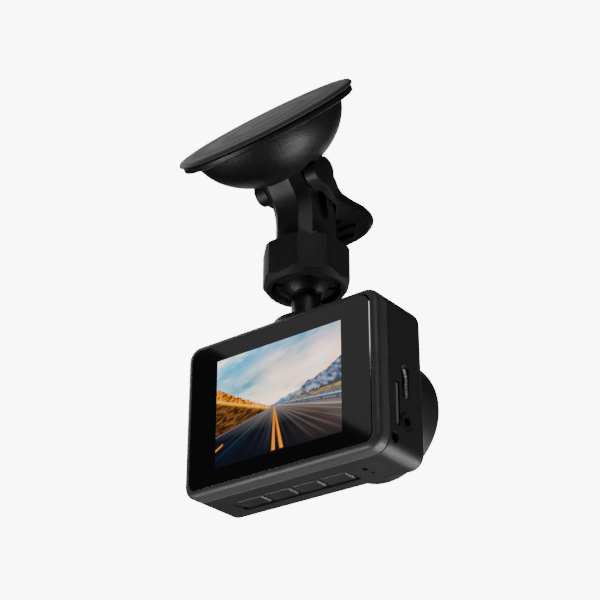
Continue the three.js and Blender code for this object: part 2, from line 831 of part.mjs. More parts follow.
// The arm's bent bar, or the same bar grown all round to cut a clearance for it.
function armBar(grow = 0) {
  const half = armDepth / 2 + grow;
  const outer = arc(...bendCentre, armBend + half, 0, bendAngle, 5);
  const inner = arc(...bendCentre, armBend - half, bendAngle, 0, 5);
  const rise = 12;
  const up = (a) => [a[0] - rise * Math.sin(lean), a[1] + rise * Math.cos(lean)];
  const outline = outlineOf([
    [mountY + half, armFoot - 8],
    ...outer,
    up(outer[outer.length - 1]),
    up(inner[0]),
    ...inner,
    [mountY - half, armFoot - 8],
  ]);
  return solid(plate("yz", outline, -armWidth / 2 - grow, armWidth / 2 + grow, armChamfer));
}

const armRoot = 15.3;
const armScrewT = 6;
function arm() {
  const foot = solid(box(-20, 20, -40, 60, armFoot - 20, armFoot));
  const above = inSuction(depthBox(-20, 20, -40, 40, -20, armRoot));
  const collar = solid(rod("z", collarRadius, lipTop - 1, armFoot + 2, 0, mountY, fine));
  const lipLow = lipTop - 1;
  const openEdge = Math.sqrt(lipRadius ** 2 - (lipLow - ballZ) ** 2);
  const lip = arc(0, ballZ, lipRadius, angleAt(lipRadius, lipLow), angleAt(lipRadius, lipTop), 3);
  const sphere = arc(0, ballZ, socketRadius, angleAt(socketRadius, lipTop), 90, 6);
  sphere[sphere.length - 1][0] = 0;
  const socket = turned("z", [[0, lipLow - 1], [openEdge, lipLow - 1], ...lip, ...sphere], 0, mountY);
  let made = armBar().subtract(foot).subtract(above).add(collar).subtract(solid(socket));
  for (const turn of [0, 1]) {
    const slot = new THREE.BoxGeometry(1.2, 30, 6).rotateZ((turn * Math.PI) / 2 + Math.PI / 4);
    made = made.subtract(solid(slot.translate(0, mountY, lipLow + 2.4)));
  }
  for (const side of [-1, 1]) {
    const recess = outlineOf([
      [bendCentre[0] + 12.7, bendStart + 9.9],
      [bendCentre[0] + 12, bendStart + 5.2],
      [bendCentre[0] + 16.7, bendStart + 1.3],
      [bendCentre[0] + 19, bendStart + 1.1],
      [bendCentre[0] + 19.9, bendStart + 3.9],
      [bendCentre[0] + 17.9, bendStart + 9.9],
    ]);
    const from = side > 0 ? armWidth / 2 - 1.4 : -armWidth / 2 - 1;
    made = made.subtract(solid(plate("yz", recess, from, from + 2.4)));
  }
  const slotDeep = pinDepth + pullTravel + pinRadius + slack;
  const postEnd = pinDepth + 2.4 + pullTravel + slack;
  return made
    .subtract(inSuction(depthBox(-10, 10, -pinRadius - slack, pinRadius + slack, armRoot - 1, slotDeep)))
    .subtract(inSuction(rod("z", postRadius + slack, -postEnd, -armRoot + 1, 0, 0, medium)))
    .subtract(inSuction(rod("z", 0.8, -armRoot - 4, -armRoot + 1, 0, armScrewT)))
    .subtract(inSuction(rod("z", 0.8, -armRoot - 4, -armRoot + 1, 0, -armScrewT)));
}
add("arm", arm(), satinBlack);

function clampNut() {
  const apothem = nutWidth / 2;
  const side = 2 * apothem * Math.tan(Math.PI / 8);
  const corner = apothem / Math.cos(Math.PI / 8);
  const half = side / 2 - nutCornerFlat * 0.54;
  const points = [];
  for (let face = 0; face < 8; face += 1) {
    const turn = (face * Math.PI) / 4;
    for (const along of [-half, half]) {
      points.push([
        apothem * Math.cos(turn) - along * Math.sin(turn),
        mountY + apothem * Math.sin(turn) + along * Math.cos(turn),
      ]);
    }
  }
  const slope = 1.35;
  const mouth = apothem - nutMouthChamfer / 2 + 0.15;
  const rise = slope * (corner + 1 - mouth);
  const cone = turned(
    "z",
    [
      [0, nutBottom],
      [mouth, nutBottom],
      [corner + 1, nutBottom + rise],
      [corner + 1, nutTop - 0.8],
      [corner - 0.6, nutTop],
      [0, nutTop],
    ],
    0,
    mountY,
  );
  const bore = rod("z", nutBore, nutBottom - 1, nutTop + 1, 0, mountY, fine);
  return solid(plate("xy", outlineOf(points), nutBottom, nutTop))
    .intersect(solid(cone))
    .subtract(solid(bore));
}
add("clamp_nut", clampNut(), nylonBlack);

// ---- Suction cup ----

const housingTop = padThickness + slack;
const domeFloor = 10.5;
const armPocket = armRoot - slack;
const earInner = armWidth / 2 + earGap;
const earOuter = earInner + earThickness;
const earPocket = armRoot - 0.6;
const headTop = padThickness + 2.2;
const headBottom = headTop + 1.4;

function suctionPad() {
  const rim = padRadius;
  const disc = turned(
    "z",
    [
      [0, 0],
      [rim - 0.8, 0],
      [rim - 0.4, -0.25],
      [rim, -1],
      [rim - 0.2, -padThickness],
      [9, -padThickness],
      [9, -headTop + slack],
      [0, -headTop + slack],
    ],
    0,
    0,
    round(36),
  );
  const tab = new THREE.ExtrudeGeometry(roundedOutline(7, 8, 2), {
    depth: padThickness - 0.3,
    bevelEnabled: false,
    curveSegments: 4,
  });
  tab.translate(0, rim - 2.4, -padThickness).rotateZ(THREE.MathUtils.degToRad(-17.4));
  return inSuction(disc).add(inSuction(tab));
}
add("suction_pad", suctionPad(), softBlack);

function suctionHousing() {
  const start = THREE.MathUtils.radToDeg(Math.asin(3.3 / domeDepth));
  const outside = arc(0, 0, 1, start, 90, 8).map(([r, d]) => [domeRadius * r, -domeDepth * d]);
  outside[outside.length - 1][0] = 0;
  const innerRadius = domeRadius - domeWall;
  const innerDepth = domeDepth - domeWall;
  const floorAngle = THREE.MathUtils.radToDeg(Math.asin(domeFloor / innerDepth));
  const inside = arc(0, 0, 1, floorAngle, 6, 3).map(([r, d]) => [innerRadius * r, -innerDepth * d]);
  const bowl = inSuction(
    turned(
      "z",
      [
        [0, -domeFloor],
        ...inside,
        [innerRadius, -housingTop],
        [housingRim, -housingTop],
        [housingRim, -2.8],
        [housingRim - 0.4, -3.2],
        [domeRadius, -3.25],
        ...outside,
      ],
      0,
      0,
      round(32),
    ),
  );
  const halfArm = armWidth / 2 + slack;
  const halfDepth = armDepth / 2 + slack;
  let made = bowl
    .subtract(inSuction(depthBox(-halfArm, halfArm, -halfDepth, halfDepth, armPocket, 30)))
    .subtract(inSuction(rod("z", postRadius + slack, -20, -5, 0, 0, medium)));
  for (const side of [-1, 1]) {
    const inner = side * (halfArm - 0.5);
    const outer = side * (earOuter + 0.5);
    const ears = depthBox(Math.min(inner, outer), Math.max(inner, outer), -6.3, 6.3, earPocket, 30);
    made = made
      .subtract(inSuction(ears))
      .subtract(inSuction(rod("z", 0.95, -20, -5, 0, side * armScrewT)))
      .subtract(inSuction(rod("z", 2, -domeFloor - 2, -5, 0, side * armScrewT)));
  }
  return made;
}
add("suction_housing", suctionHousing(), satinBlack);

for (const [i, t] of [-armScrewT, armScrewT].entries()) {
  const head = rod("z", 1.6, -domeFloor - 1.7, -domeFloor - 0.6, 0, t);
  const shank = rod("z", 0.65, -armRoot - 3.6, -domeFloor - 1.6, 0, t, round(8));
  const recess = box(-0.5, 0.5, t - 1, t + 1, -domeFloor - 1.1, -domeFloor + 1);
  const body = inSuction(head).add(inSuction(shank)).subtract(inSuction(recess));
  add(`arm_screw_${i + 1}`, body, steel);
}

function pullPost() {
  const post = turned(
    "z",
    [
      [0, -headTop],
      [postHeadRadius, -headTop],
      [postHeadRadius, -headBottom],
      [postRadius, -headBottom - 0.6],
      [postRadius, -pinDepth - 2],
      [postRadius - 0.4, -pinDepth - 2.4],
      [0, -pinDepth - 2.4],
    ],
    0,
    0,
    medium,
  );
  return inSuction(post).subtract(solid(rod("x", pinRadius + 0.15, -9, 9, pinY, pinZ, coarse)));
}
add("pull_post", pullPost(), steel);

// ---- Lever: two cam ears on a pin, joined by a curved paddle in front of the arm ----

const pinReach = earOuter - 1;
const camAngle = THREE.MathUtils.degToRad(40);
const camCentre = suctionPoint(camThrow * Math.cos(camAngle), pinDepth + camThrow * Math.sin(camAngle));
const lobeCentre = [camCentre[0] - 2.15, camCentre[1] - 1.98];

function capsule(first, second, radius) {
  const angle = THREE.MathUtils.radToDeg(
    Math.atan2(second[1] - first[1], second[0] - first[0]),
  );
  return outlineOf([
    ...arc(...second, radius, angle - 90, angle + 90, 9),
    ...arc(...first, radius, angle + 90, angle + 270, 9),
  ]);
}

// Points of the paddle are given from the pin: forward, then up.
const fromPin = (points) => points.map(([y, z]) => [pinY + y, pinZ + z]);
const curve = (points, steps) =>
  new THREE.SplineCurve(points.map(([a, b]) => new THREE.Vector2(a, b)))
    .getPoints(steps)
    .map(({ x, y }) => [x, y]);

const paddleUnder = fromPin([
  [1, -4.6],
  [7.6, -5.4],
  [12.4, -7],
  [17.4, -10.4],
  [21.4, -13.4],
]);
const paddleOver = fromPin([
  [23, -12.2],
  [17.8, -6.6],
  [12.4, -2.8],
  [7.4, -1],
  [3.5, 1.2],
]);

function paddleOutline() {
  const half = curve(
    [
      [10.7, -9],
      [9.9, -4],
      [8.7, 0],
      [10.1, 3.3],
      [12.4, 6.4],
      [13.5, 9.6],
      [12.6, 12.2],
      [8.4, 14.4],
      [0, 15.1],
    ],
    20,
  );
  const mirrored = half.slice(0, -1).reverse();
  return outlineOf([...half, ...mirrored.map(([x, s]) => [-x, s])]);
}

function lever() {
  const side = solid(
    plate("yz", outlineOf([...curve(paddleUnder, 14), ...curve(paddleOver, 14)]), -16, 16),
  );
  // The outline is drawn on a plane that slopes down and forward at 45 degrees.
  const outlineBlock = plate("xy", paddleOutline(), -14, 14);
  outlineBlock.rotateX(-Math.PI / 4).translate(0, pinY + 10.7, pinZ - 2.4);
  let made = side.intersect(solid(outlineBlock));
  for (const x of [-earOuter, earInner]) {
    const ear = plate("yz", capsule(lobeCentre, camCentre, camRadius), x, x + earThickness);
    made = made.add(solid(ear));
  }
  made = made
    .subtract(armBar(earGap))
    .subtract(solid(rod("x", pinRadius + 0.15, -pinReach - gap, pinReach + gap, pinY, pinZ, coarse)));
  const under = curve(paddleUnder, 60);
  for (const [forward, halfLength] of [
    [15.2, 6],
    [17.3, 9.3],
    [19.4, 7],
  ]) {
    const [y, z] = under.find(([at]) => at > pinY + forward);
    const bar = new THREE.BoxGeometry(2 * halfLength, 0.8, 2);
    bar.translate(0, 0, 1 - gripRib).rotateX(-Math.PI / 4).translate(0, y, z);
    made = made.add(solid(bar));
  }
  return made;
}
add("lever", lever(), nylonBlack);
const pin = rod("x", pinRadius, -pinReach, pinReach, pinY, pinZ, coarse);
add("lever_pin", solid(pin), steel);

camera.position.set(0, -faceY, -faceZ);
const dashCamera = new THREE.Group();
dashCamera.add(camera);

export default dashCamera;
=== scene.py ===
import math

import bmesh
import bpy
from mathutils import Matrix, Vector, noise


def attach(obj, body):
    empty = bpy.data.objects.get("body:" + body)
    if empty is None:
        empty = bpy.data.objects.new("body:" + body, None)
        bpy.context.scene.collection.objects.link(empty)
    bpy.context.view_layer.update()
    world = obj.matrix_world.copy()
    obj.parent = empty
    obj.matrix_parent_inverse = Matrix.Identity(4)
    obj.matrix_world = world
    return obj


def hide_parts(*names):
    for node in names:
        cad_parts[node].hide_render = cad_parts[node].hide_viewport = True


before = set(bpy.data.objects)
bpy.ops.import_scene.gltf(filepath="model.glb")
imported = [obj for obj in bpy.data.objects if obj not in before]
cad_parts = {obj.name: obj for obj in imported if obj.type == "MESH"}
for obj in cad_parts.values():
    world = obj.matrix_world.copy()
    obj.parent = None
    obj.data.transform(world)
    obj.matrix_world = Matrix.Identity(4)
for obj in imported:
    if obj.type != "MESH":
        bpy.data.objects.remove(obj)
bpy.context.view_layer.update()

# Camera: low and to the right of the screen, looking up at it through a long lens, so that the
# body's edges stay nearly parallel.
view_azimuth = math.radians(37.63)
view_elevation = math.radians(27.604)
eye_place = (0.22937, -0.28110, -0.24560)
eye = bpy.data.cameras.new("eye")
eye.lens = 94.24
eye.clip_start = 0.01
eye.clip_end = 20
camera = bpy.data.objects.new("eye", eye)
bpy.context.collection.objects.link(camera)
level = math.cos(view_elevation)
across = Vector((math.cos(view_azimuth), math.sin(view_azimuth), 0))
ahead = Vector((-across.y * level, across.x * level, math.sin(view_elevation)))
facing_back = Matrix((across, across.cross(ahead), -ahead)).transposed()
camera.matrix_world = Matrix.Translation(eye_place) @ facing_back.to_4x4()
bpy.context.scene.camera = camera

# Studio: a plain pale floor well below, a sky that shows white behind the object, and soft
# rectangular lamps. The floor shines by itself, and neither lights the object nor shows in it.
floor_half = 3
floor_height = -0.9
floor_corners = [
    (a * floor_half, b * floor_half, floor_height) for a, b in ((-1, -1), (1, -1), (1, 1), (-1, 1))
]
floor_mesh = bpy.data.meshes.new("floor")
floor_mesh.from_pydata(floor_corners, [], [(0, 1, 2, 3)])
floor = bpy.data.objects.new("floor", floor_mesh)
bpy.context.collection.objects.link(floor)
paint = bpy.data.materials.new("floor")
paint.use_nodes = True
floor_shader = paint.node_tree.nodes["Principled BSDF"]
floor_shader.inputs["Base Color"].default_value = (0.85, 0.85, 0.85, 1)
floor_shader.inputs["Roughness"].default_value = 0.9
floor_shader.inputs["Emission Color"].default_value = (1, 1, 1, 1)
floor_shader.inputs["Emission Strength"].default_value = 3.0
floor.data.materials.append(paint)
floor.visible_diffuse = False
floor.visible_glossy = False

sky = bpy.data.worlds.new("sky")
bpy.context.scene.world = sky
sky.use_nodes = True
nodes, links = sky.node_tree.nodes, sky.node_tree.links
path = nodes.new("ShaderNodeLightPath")
seen = nodes.new("ShaderNodeBackground")
seen.inputs["Strength"].default_value = 9.0
seen.inputs["Color"].default_value = (1, 1, 1, 1)
fill = nodes["Background"]
fill.inputs["Color"].default_value = (0.9, 0.95, 1.0, 1)
fill.inputs["Strength"].default_value = 0.025
choose = nodes.new("ShaderNodeMixShader")
links.new(path.outputs["Is Camera Ray"], choose.inputs[0])
links.new(fill.outputs[0], choose.inputs[1])
links.new(seen.outputs[0], choose.inputs[2])
links.new(choose.outputs[0], nodes["World Output"].inputs["Surface"])


def soft_light(name, width, height, power):
    """An area light that shines on the object but isn't seen itself."""
    light = bpy.data.lights.new(name, "AREA")
    light.shape = "RECTANGLE"
    light.size = width
    light.size_y = height
    light.energy = power
    holder = bpy.data.objects.new(name, light)
    bpy.context.collection.objects.link(holder)
    holder.visible_camera = False
    return holder


def lamp(name, spot, target, width, height, power):
    """A soft light at a spot, turned towards its target."""
    holder = soft_light(name, width, height, power)
    aim = (Vector(target) - Vector(spot)).to_track_quat("-Z", "Y")
    holder.matrix_world = Matrix.Translation(spot) @ aim.to_matrix().to_4x4()


middle = (0, 0.01, -0.05)
lamp("top_key", (-0.3, -0.3, 0.85), middle, 0.5, 0.4, 2.8)
lamp("left_key", (-0.85, 0.05, 0.45), middle, 0.25, 0.25, 1.6)
lamp("right_key", (0.62, -0.47, 0.4), middle, 0.2, 0.2, 1.6)
lamp("under_key", (0.12, 0.26, -0.47), (0, 0.01, 0), 0.28, 0.28, 1.9)
lamp("corner_kick", (0.26, 0.36, -0.36), (0.03, 0, -0.1), 0.1, 0.1, 1.0)
lamp("low_left", (-0.3, -0.26, -0.45), (0, 0.02, 0), 0.25, 0.15, 1.7)
lamp("back_top", (-0.5, 0.42, 0.5), middle, 0.45, 0.35, 0.8)
lamp("front_soft", (-0.45, 0.85, 0.25), middle, 0.6, 0.5, 1.1)
lamp("right_rim", (0.75, 0.75, 0.1), middle, 0.1, 0.7, 0.12)

# Screen card: a dim light to the upper left, facing the screen. Its straight lower edge makes the
# slanting line in the glass.
card_place = (-0.463, -0.693, 0.435)
card_slant = math.radians(36.58)
screen_card = soft_light("screen_card", 0.55, 0.28, 0.15)
face_screen = Matrix.Rotation(math.radians(90), 4, "X")
slant = Matrix.Rotation(card_slant, 4, "Y")
screen_card.matrix_world = Matrix.Translation(card_place) @ slant @ face_screen

# Rear frame: the grey surround of the screen, moulded in one piece and painted. It rounds over
# from its side to the glass, and has a ledge for the glass and a skirt that goes into the shell.
mount_y = 12.3
suction_y = -6.88
suction_z = 80.39
# Pieces are drawn in millimetres from the middle of the screen glass, with +X right, +Y forward
# and +Z up. This moves a drawing to the model's origin, the middle of the suction face.
model = Matrix.Scale(0.001, 4) @ Matrix.Translation((0, -suction_y, -suction_z))


def keep(name, mesh_data):
    """A new object from a bmesh, in the model's frame."""
    bmesh.ops.recalc_face_normals(mesh_data, faces=mesh_data.faces)
    mesh = bpy.data.meshes.new(name)
    mesh_data.to_mesh(mesh)
    mesh_data.free()
    made = bpy.data.objects.new(name, mesh)
    bpy.context.collection.objects.link(made)
    return made


def rounded(width, height, radius, a=0.0, b=0.0, steps=8):
    """Points round a rectangle with rounded corners."""
    points = []
    for corner, (sa, sb) in enumerate(((1, 1), (-1, 1), (-1, -1), (1, -1))):
        for i in range(steps + 1):
            angle = math.pi / 2 * (corner + i / steps)
            points.append(
                (
                    a + sa * (width / 2 - radius) + radius * math.cos(angle),
                    b + sb * (height / 2 - radius) + radius * math.sin(angle),
                )
            )
    return points


laid = {
    "xz": lambda a, b, h: Vector((a, h, b)),
    "xy": lambda a, b, h: Vector((a, b, h)),
    "yz": lambda a, b, h: Vector((h, a, b)),
}


def loft(name, plane, rings, closed=False, place=Matrix()):
    """Joins (points, height) outlines with the same number of points into one skin."""
    work = bmesh.new()
    skins = [
        [work.verts.new(model @ place @ laid[plane](a, b, height)) for a, b in points]
        for points, height in rings
    ]
    count = len(skins[0])
    pairs = list(zip(skins, skins[1:]))
    if closed:
        pairs.append((skins[-1], skins[0]))
    else:
        work.faces.new(skins[0])
        work.faces.new(skins[-1])
    for low, high in pairs:
        for i in range(count):
            j = (i + 1) % count
            work.faces.new((low[i], low[j], high[j], high[i]))
    return keep(name, work)


def settle(piece):
    """Puts the piece's modifiers into its mesh."""
    bpy.context.view_layer.update()
    shaped = piece.evaluated_get(bpy.context.evaluated_depsgraph_get())
    mesh = bpy.data.meshes.new_from_object(shaped)
    piece.modifiers.clear()
    piece.data = mesh


def soften(piece, width=0.0, limit=35.0, smooth=32.0, segments=2):
    """Rounds the sharp edges by a width in millimetres and shades the rest smooth."""
    if width:
        work = bmesh.new()
        work.from_mesh(piece.data)
        bmesh.ops.remove_doubles(work, verts=work.verts, dist=2e-6)
        bmesh.ops.dissolve_limit(
            work, angle_limit=math.radians(1.0), verts=work.verts, edges=work.edges
        )
        work.to_mesh(piece.data)
        work.free()
        step = piece.modifiers.new("soften", "BEVEL")
        step.width = width * 0.001
        step.segments = segments
        step.limit_method = "ANGLE"
        step.angle_limit = math.radians(limit)
        step.use_clamp_overlap = True
        settle(piece)
    piece.data.shade_smooth()
    piece.data.set_sharp_from_angle(angle=math.radians(smooth))
    if width:
        step = piece.modifiers.new("weigh", "WEIGHTED_NORMAL")
        step.keep_sharp = True
        step.weight = 100
        settle(piece)
    return piece


group = bpy.data.node_groups.new("moulded_finish", "ShaderNodeTree")
for title, kind, value in (
    ("Color", "NodeSocketColor", (0.03, 0.03, 0.03, 1)),
    ("Roughness", "NodeSocketFloat", 0.5),
    ("Grain Scale", "NodeSocketFloat", 4000.0),
    ("Grain Depth", "NodeSocketFloat", 0.1),
    ("Dust", "NodeSocketFloat", 0.05),
):
    socket = group.interface.new_socket(title, in_out="INPUT", socket_type=kind)
    socket.default_value = value
group.interface.new_socket("Base Color", in_out="OUTPUT", socket_type="NodeSocketColor")
group.interface.new_socket("Roughness", in_out="OUTPUT", socket_type="NodeSocketFloat")
group.interface.new_socket("Normal", in_out="OUTPUT", socket_type="NodeSocketVector")
nodes, links = group.nodes, group.links
given = nodes.new("NodeGroupInput")
result = nodes.new("NodeGroupOutput")
spot = nodes.new("ShaderNodeTexCoord")
grain = nodes.new("ShaderNodeTexNoise")
grain.inputs["Detail"].default_value = 3.0
links.new(spot.outputs["Object"], grain.inputs["Vector"])
links.new(given.outputs["Grain Scale"], grain.inputs["Scale"])
bump = nodes.new("ShaderNodeBump")
bump.inputs["Distance"].default_value = 0.0002
links.new(given.outputs["Grain Depth"], bump.inputs["Strength"])
links.new(grain.outputs["Fac"], bump.inputs["Height"])
links.new(bump.outputs["Normal"], result.inputs["Normal"])
cloud = nodes.new("ShaderNodeTexNoise")
cloud.inputs["Scale"].default_value = 90.0
cloud.inputs["Detail"].default_value = 5.0
links.new(spot.outputs["Object"], cloud.inputs["Vector"])
spread = nodes.new("ShaderNodeMapRange")
spread.inputs["From Min"].default_value = 0.3
spread.inputs["From Max"].default_value = 0.7
spread.inputs["To Min"].default_value = -0.05
spread.inputs["To Max"].default_value = 0.06
links.new(cloud.outputs["Fac"], spread.inputs["Value"])
total = nodes.new("ShaderNodeMath")
links.new(given.outputs["Roughness"], total.inputs[0])
links.new(spread.outputs["Result"], total.inputs[1])
links.new(total.outputs[0], result.inputs["Roughness"])
facing = nodes.new("ShaderNodeNewGeometry")
split = nodes.new("ShaderNodeSeparateXYZ")
links.new(facing.outputs["Normal"], split.inputs[0])
upward = nodes.new("ShaderNodeMapRange")
upward.inputs["From Min"].default_value = 0.2
upward.inputs["From Max"].default_value = 1.0
links.new(split.outputs["Z"], upward.inputs["Value"])
settled = nodes.new("ShaderNodeMath")
settled.operation = "MULTIPLY"
links.new(upward.outputs["Result"], settled.inputs[0])
links.new(given.outputs["Dust"], settled.inputs[1])
patchy = nodes.new("ShaderNodeMath")
patchy.operation = "MULTIPLY"
links.new(settled.outputs[0], patchy.inputs[0])
links.new(grain.outputs["Fac"], patchy.inputs[1])
mixed = nodes.new("ShaderNodeMix")
mixed.data_type = "RGBA"
links.new(patchy.outputs[0], mixed.inputs["Factor"])
links.new(given.outputs["Color"], mixed.inputs["A"])
mixed.inputs["B"].default_value = (0.35, 0.34, 0.32, 1)
links.new(mixed.outputs["Result"], result.inputs["Base Color"])


def finish(name, color, rough, scale=4000.0, depth=0.1, dust=0.05, metal=0.0, coat=0.0):
    """A material whose colour, roughness and grain come through the moulded finish."""
    made = bpy.data.materials.new(name)
    made.use_nodes = True
    shader = made.node_tree.nodes["Principled BSDF"]
    shader.inputs["Metallic"].default_value = metal
    shader.inputs["Coat Weight"].default_value = coat
    shader.inputs["Coat Roughness"].default_value = 0.05
    surface = made.node_tree.nodes.new("ShaderNodeGroup")
    surface.node_tree = group
    surface.inputs["Color"].default_value = (*color, 1)
    surface.inputs["Roughness"].default_value = rough
    surface.inputs["Grain Scale"].default_value = scale
    surface.inputs["Grain Depth"].default_value = depth
    surface.inputs["Dust"].default_value = dust
    for title in ("Base Color", "Roughness", "Normal"):
        made.node_tree.links.new(surface.outputs[title], shader.inputs[title])
    return made


def place(piece, material, body, slot, *replaced):
    """The piece takes its material, rides on a body and stands for its CAD nodes."""
    piece.data.materials.clear()
    piece.data.materials.append(material)
    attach(piece, body)
    if replaced:
        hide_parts(*replaced)


body_width = 63
body_height = 44
body_depth = 20.5
body_corner = 4
edge = 1.9
frame_depth = 4.0
seat_depth = 1.3
skirt_end = 5.5
glass_room = rounded(58.9, 40.8, 3.0)
window = rounded(49, 36.4, 1.5)
skirt_inside = rounded(56.6, 37.6, 1.0)
skirt_outside = rounded(59, 40, 2.2)


def turned_edge():
    """Outlines of the body as its edge rounds over, each with its distance from the face."""
    rings = []
    for angle in range(0, 91, 15):
        turn = math.radians(angle)
        inset = edge * (1 - math.cos(turn))
        outline = rounded(body_width - 2 * inset, body_height - 2 * inset, body_corner - inset)
        rings.append((outline, edge * (1 - math.sin(turn))))
    return rings


body_outline = rounded(body_width, body_height, body_corner)
rear_rings = [
    (body_outline, frame_depth),
    *turned_edge(),
    (glass_room, 0.0),
    (glass_room, seat_depth),
    (window, seat_depth),
    (window, frame_depth),
    (skirt_inside, frame_depth),
    (skirt_inside, skirt_end),
    (skirt_outside, skirt_end),
    (skirt_outside, frame_depth),
]
rear_frame = soften(loft("rear_frame_skin", "xz", rear_rings, closed=True))
frame_paint = finish("frame_paint", (0.06, 0.06, 0.064), 0.42, 3000, 0.4)
place(rear_frame, frame_paint, "camera_body", "frame_grey", "rear_frame")

# Main shell: a moulded box with rounded edges, open at the back and painted black. It is cut for
# the lens, the speaker, the sockets, the button trough, the microphone and the ball stud.
seam = 0.2
shell_start = frame_depth + seam
front_inside = 18.7
lens_x = 11.2
lens_room = 13.8
shell_inside = rounded(59.4, 40.4, 2.2)
seam_outline = rounded(62.6, 43.6, 3.8)
shell_rings = [
    (shell_inside, front_inside),
    (shell_inside, shell_start),
    (seam_outline, shell_start),
    (body_outline, shell_start + seam),
]
shell_rings += [(outline, body_depth - away) for outline, away in turned_edge()]
main_shell = loft("main_shell_skin", "xz", shell_rings)


def carve(piece, cutters, way="DIFFERENCE"):
    """Cuts the piece by each cutter in turn, or joins or crosses it with them."""
    for cutter in cutters:
        step = piece.modifiers.new("cut", "BOOLEAN")
        step.operation = way
        step.solver = "EXACT"
        step.object = cutter
        settle(piece)
        bpy.data.objects.remove(cutter)
    return piece


def hole(plane, a, b, radius, low, high):
    """A round cutter across a plane."""
    ring = rounded(2 * radius, 2 * radius, radius - 0.001, a, b)
    return loft("cutter", plane, [(ring, low), (ring, high)])


def slot_cut(plane, width, height, radius, a, b, low, high, place=Matrix()):
    """A cutter with rounded corners across a plane."""
    ring = rounded(width, height, radius, a, b, 4)
    return loft("cutter", plane, [(ring, low), (ring, high)], place=place)


side_wall = (28.7, 33)
side_through = (-33, 33)
screw_recess = (30.3, 33)
far_recess = (-33, -30.3)
under_wall = (-23, -19)
front_wall = (17.7, 22)
button_pitch = 9.0
button_xs = [-17.1 + button_pitch * i for i in range(4)]
screw_y = 6.6
screw_z = -17.7
slat_pitch = 3
carve(
    main_shell,
    [
        slot_cut("xy", 37.8, 6.4, 1, -3.6, mount_y, -23, -21.2),
        slot_cut("yz", 3.6, 9.4, 1.79, 12.1, -1.05, *side_wall),
        slot_cut("yz", 1.7, 12.4, 0.8, 8.4, -7.9, *side_wall),
        hole("yz", 11.9, -11.9, 2.4, *side_wall),
        hole("yz", screw_y, screw_z, 0.95, *side_through),
        hole("yz", screw_y, screw_z, 1.5, *screw_recess),
        hole("yz", screw_y, screw_z, 1.5, *far_recess),
        hole("xz", lens_x, 0, lens_room, *front_wall),
        hole("xy", 0, mount_y, 3.4, 19, 23),
        hole("xy", 19.6, 10.6, 0.8, *under_wall),
        hole("xy", 19.9, 13.6, 0.5, *under_wall),
    ]
    + [slot_cut("xy", 8.6, 5.4, 0.7, x, mount_y, *under_wall) for x in button_xs]
    + [slot_cut("xz", 7, 1, 0.45, -17, 1 + slat_pitch * k, *front_wall) for k in range(-2, 3)],
)
soften(main_shell, 0.14, limit=50)
shell_paint = finish("shell_paint", (0.018, 0.018, 0.019), 0.46, 5200, 0.22)
place(main_shell, shell_paint, "camera_body", "shell_black", "main_shell")

# Screen glass: a flat gloss slab stuck to the frame's ledge, with a lit picture on its outer
# face. The picture is a fine grid of points, each with the colour that a drawn road view has
# there: sky, mountains, wooded slope, meadow, road and guard rail.
glass_outline = rounded(58.5, 40.4, 3.0)
glass_rings = [
    (rounded(58.2, 40.1, 2.85), 0.02),
    (glass_outline, 0.17),
    (glass_outline, 1.1),
]
glass = soften(loft("screen_glass_skin", "xz", glass_rings))
vanish_u = 0.477
horizon = 0.41
line_orange = (0.56, 0.29, 0.015)
road_spread_left = 1.43
road_spread_right = 1.40


def blend(low, high, amount):
    """A colour part of the way from low to high, with the amount kept between 0 and 1."""
    amount = min(1.0, max(0.0, amount))
    return tuple(a + (b - a) * amount for a, b in zip(low, high))


def cloudiness(x, y, detail=4):
    """Soft noise about zero."""
    return noise.fractal(Vector((x, y, 3.7)), 0.9, 2.1, detail)


def sky_color(u, v):
    """Warm at the horizon, teal high on the left, with pale streaks and a pink blush."""
    low = blend((0.88, 0.74, 0.62), (0.95, 0.80, 0.68), u)
    high = blend((0.10, 0.38, 0.52), (0.60, 0.53, 0.58), 1.4 * u - 0.25)
    color = blend(low, high, (v - horizon) / 0.5)
    veil = cloudiness(u * 2.6 + 2.2 * v, v * 6.0 - u * 2.4)
    color = blend(color, (0.86, 0.82, 0.78), 1.1 * max(0.0, veil + 0.02))
    color = blend(color, (0.16, 0.34, 0.42), 1.5 * max(0.0, -veil - 0.12) * (1.1 - 0.5 * u))
    blush = max(0.0, cloudiness(u * 3.5, v * 8.0 - u * 4.0 + 9.0))
    return blend(color, (0.95, 0.66, 0.54), 0.9 * blush * u)


def mountain_color(u, v, ridge, color):
    """Slate mountains with some snow on the right, and a dark wood at their foot."""
    if u > 0.44 and v < ridge:
        snow = cloudiness(u * 26 + v * 14, v * 30 - u * 8)
        color = blend((0.06, 0.085, 0.12), (0.36, 0.39, 0.46), 0.4 + 0.75 * snow)
        color = blend(color, (0.10, 0.26, 0.46), 2.2 * max(0.0, 0.70 - u))
    forest = horizon + 0.02 + max(0.0, u - 0.62) * 0.13 + 0.02 * cloudiness(u * 90, 2.2)
    if u > 0.6 and v < forest:
        color = (0.07, 0.08, 0.09)
    return color


def slope_color(u, v, color):
    """Autumn trees on the left, with a lit strip under them and brown grass below."""
    fall = max(0.0, 0.45 - u)
    trees = horizon + 0.01 + fall * 0.68 + 0.014 * cloudiness(u * 60, 8.1)
    trees += 0.012 * cloudiness(u * 14, 4.4)
    if u >= 0.47 or v >= trees:
        return color
    leaf = cloudiness(u * 44, v * 44)
    color = blend((0.16, 0.06, 0.015), (0.62, 0.36, 0.10), 0.5 + 1.1 * leaf)
    band = horizon + fall * 0.47
    if v < band:
        glow = max(0.0, 1 - (band - v) / 0.035)
        grass = cloudiness(u * 16 + v * 20, v * 50 - u * 20)
        color = blend((0.05, 0.028, 0.014), (0.23, 0.14, 0.075), 0.45 + grass)
        color = blend(color, (0.78, 0.50, 0.06), glow)
    return color


